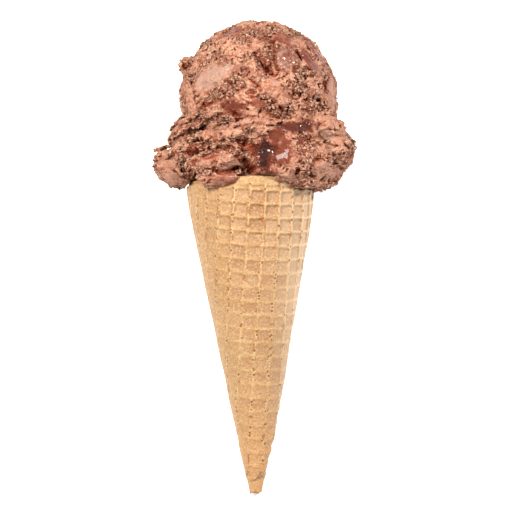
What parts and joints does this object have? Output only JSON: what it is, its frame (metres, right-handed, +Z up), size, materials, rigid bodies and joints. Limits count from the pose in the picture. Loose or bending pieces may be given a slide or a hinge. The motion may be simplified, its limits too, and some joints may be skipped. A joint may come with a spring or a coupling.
{
  "type": "ice cream cone",
  "caption": "Scoop of chocolate ice cream with a ragged collar on a rolled, waffle-printed wafer cone, lying on its side.",
  "frame": {"origin": "middle of the bottom of the object's box, on the surface that it lies on", "axes": "+Y from the cone's tip towards the scoop, +Z up, +X to the right when the scoop is at the far end; the shown side faces up"},
  "size_m": [0.0768, 0.176, 0.0652],
  "materials": {
    "wafer": "baked, matt, golden",
    "ice_cream": "torn, moist, with glossy darker ripples"
  },
  "bodies": {
    "root": {"wafer_cone": "wafer", "ice_cream": "ice_cream"}
  },
  "joints": []
}
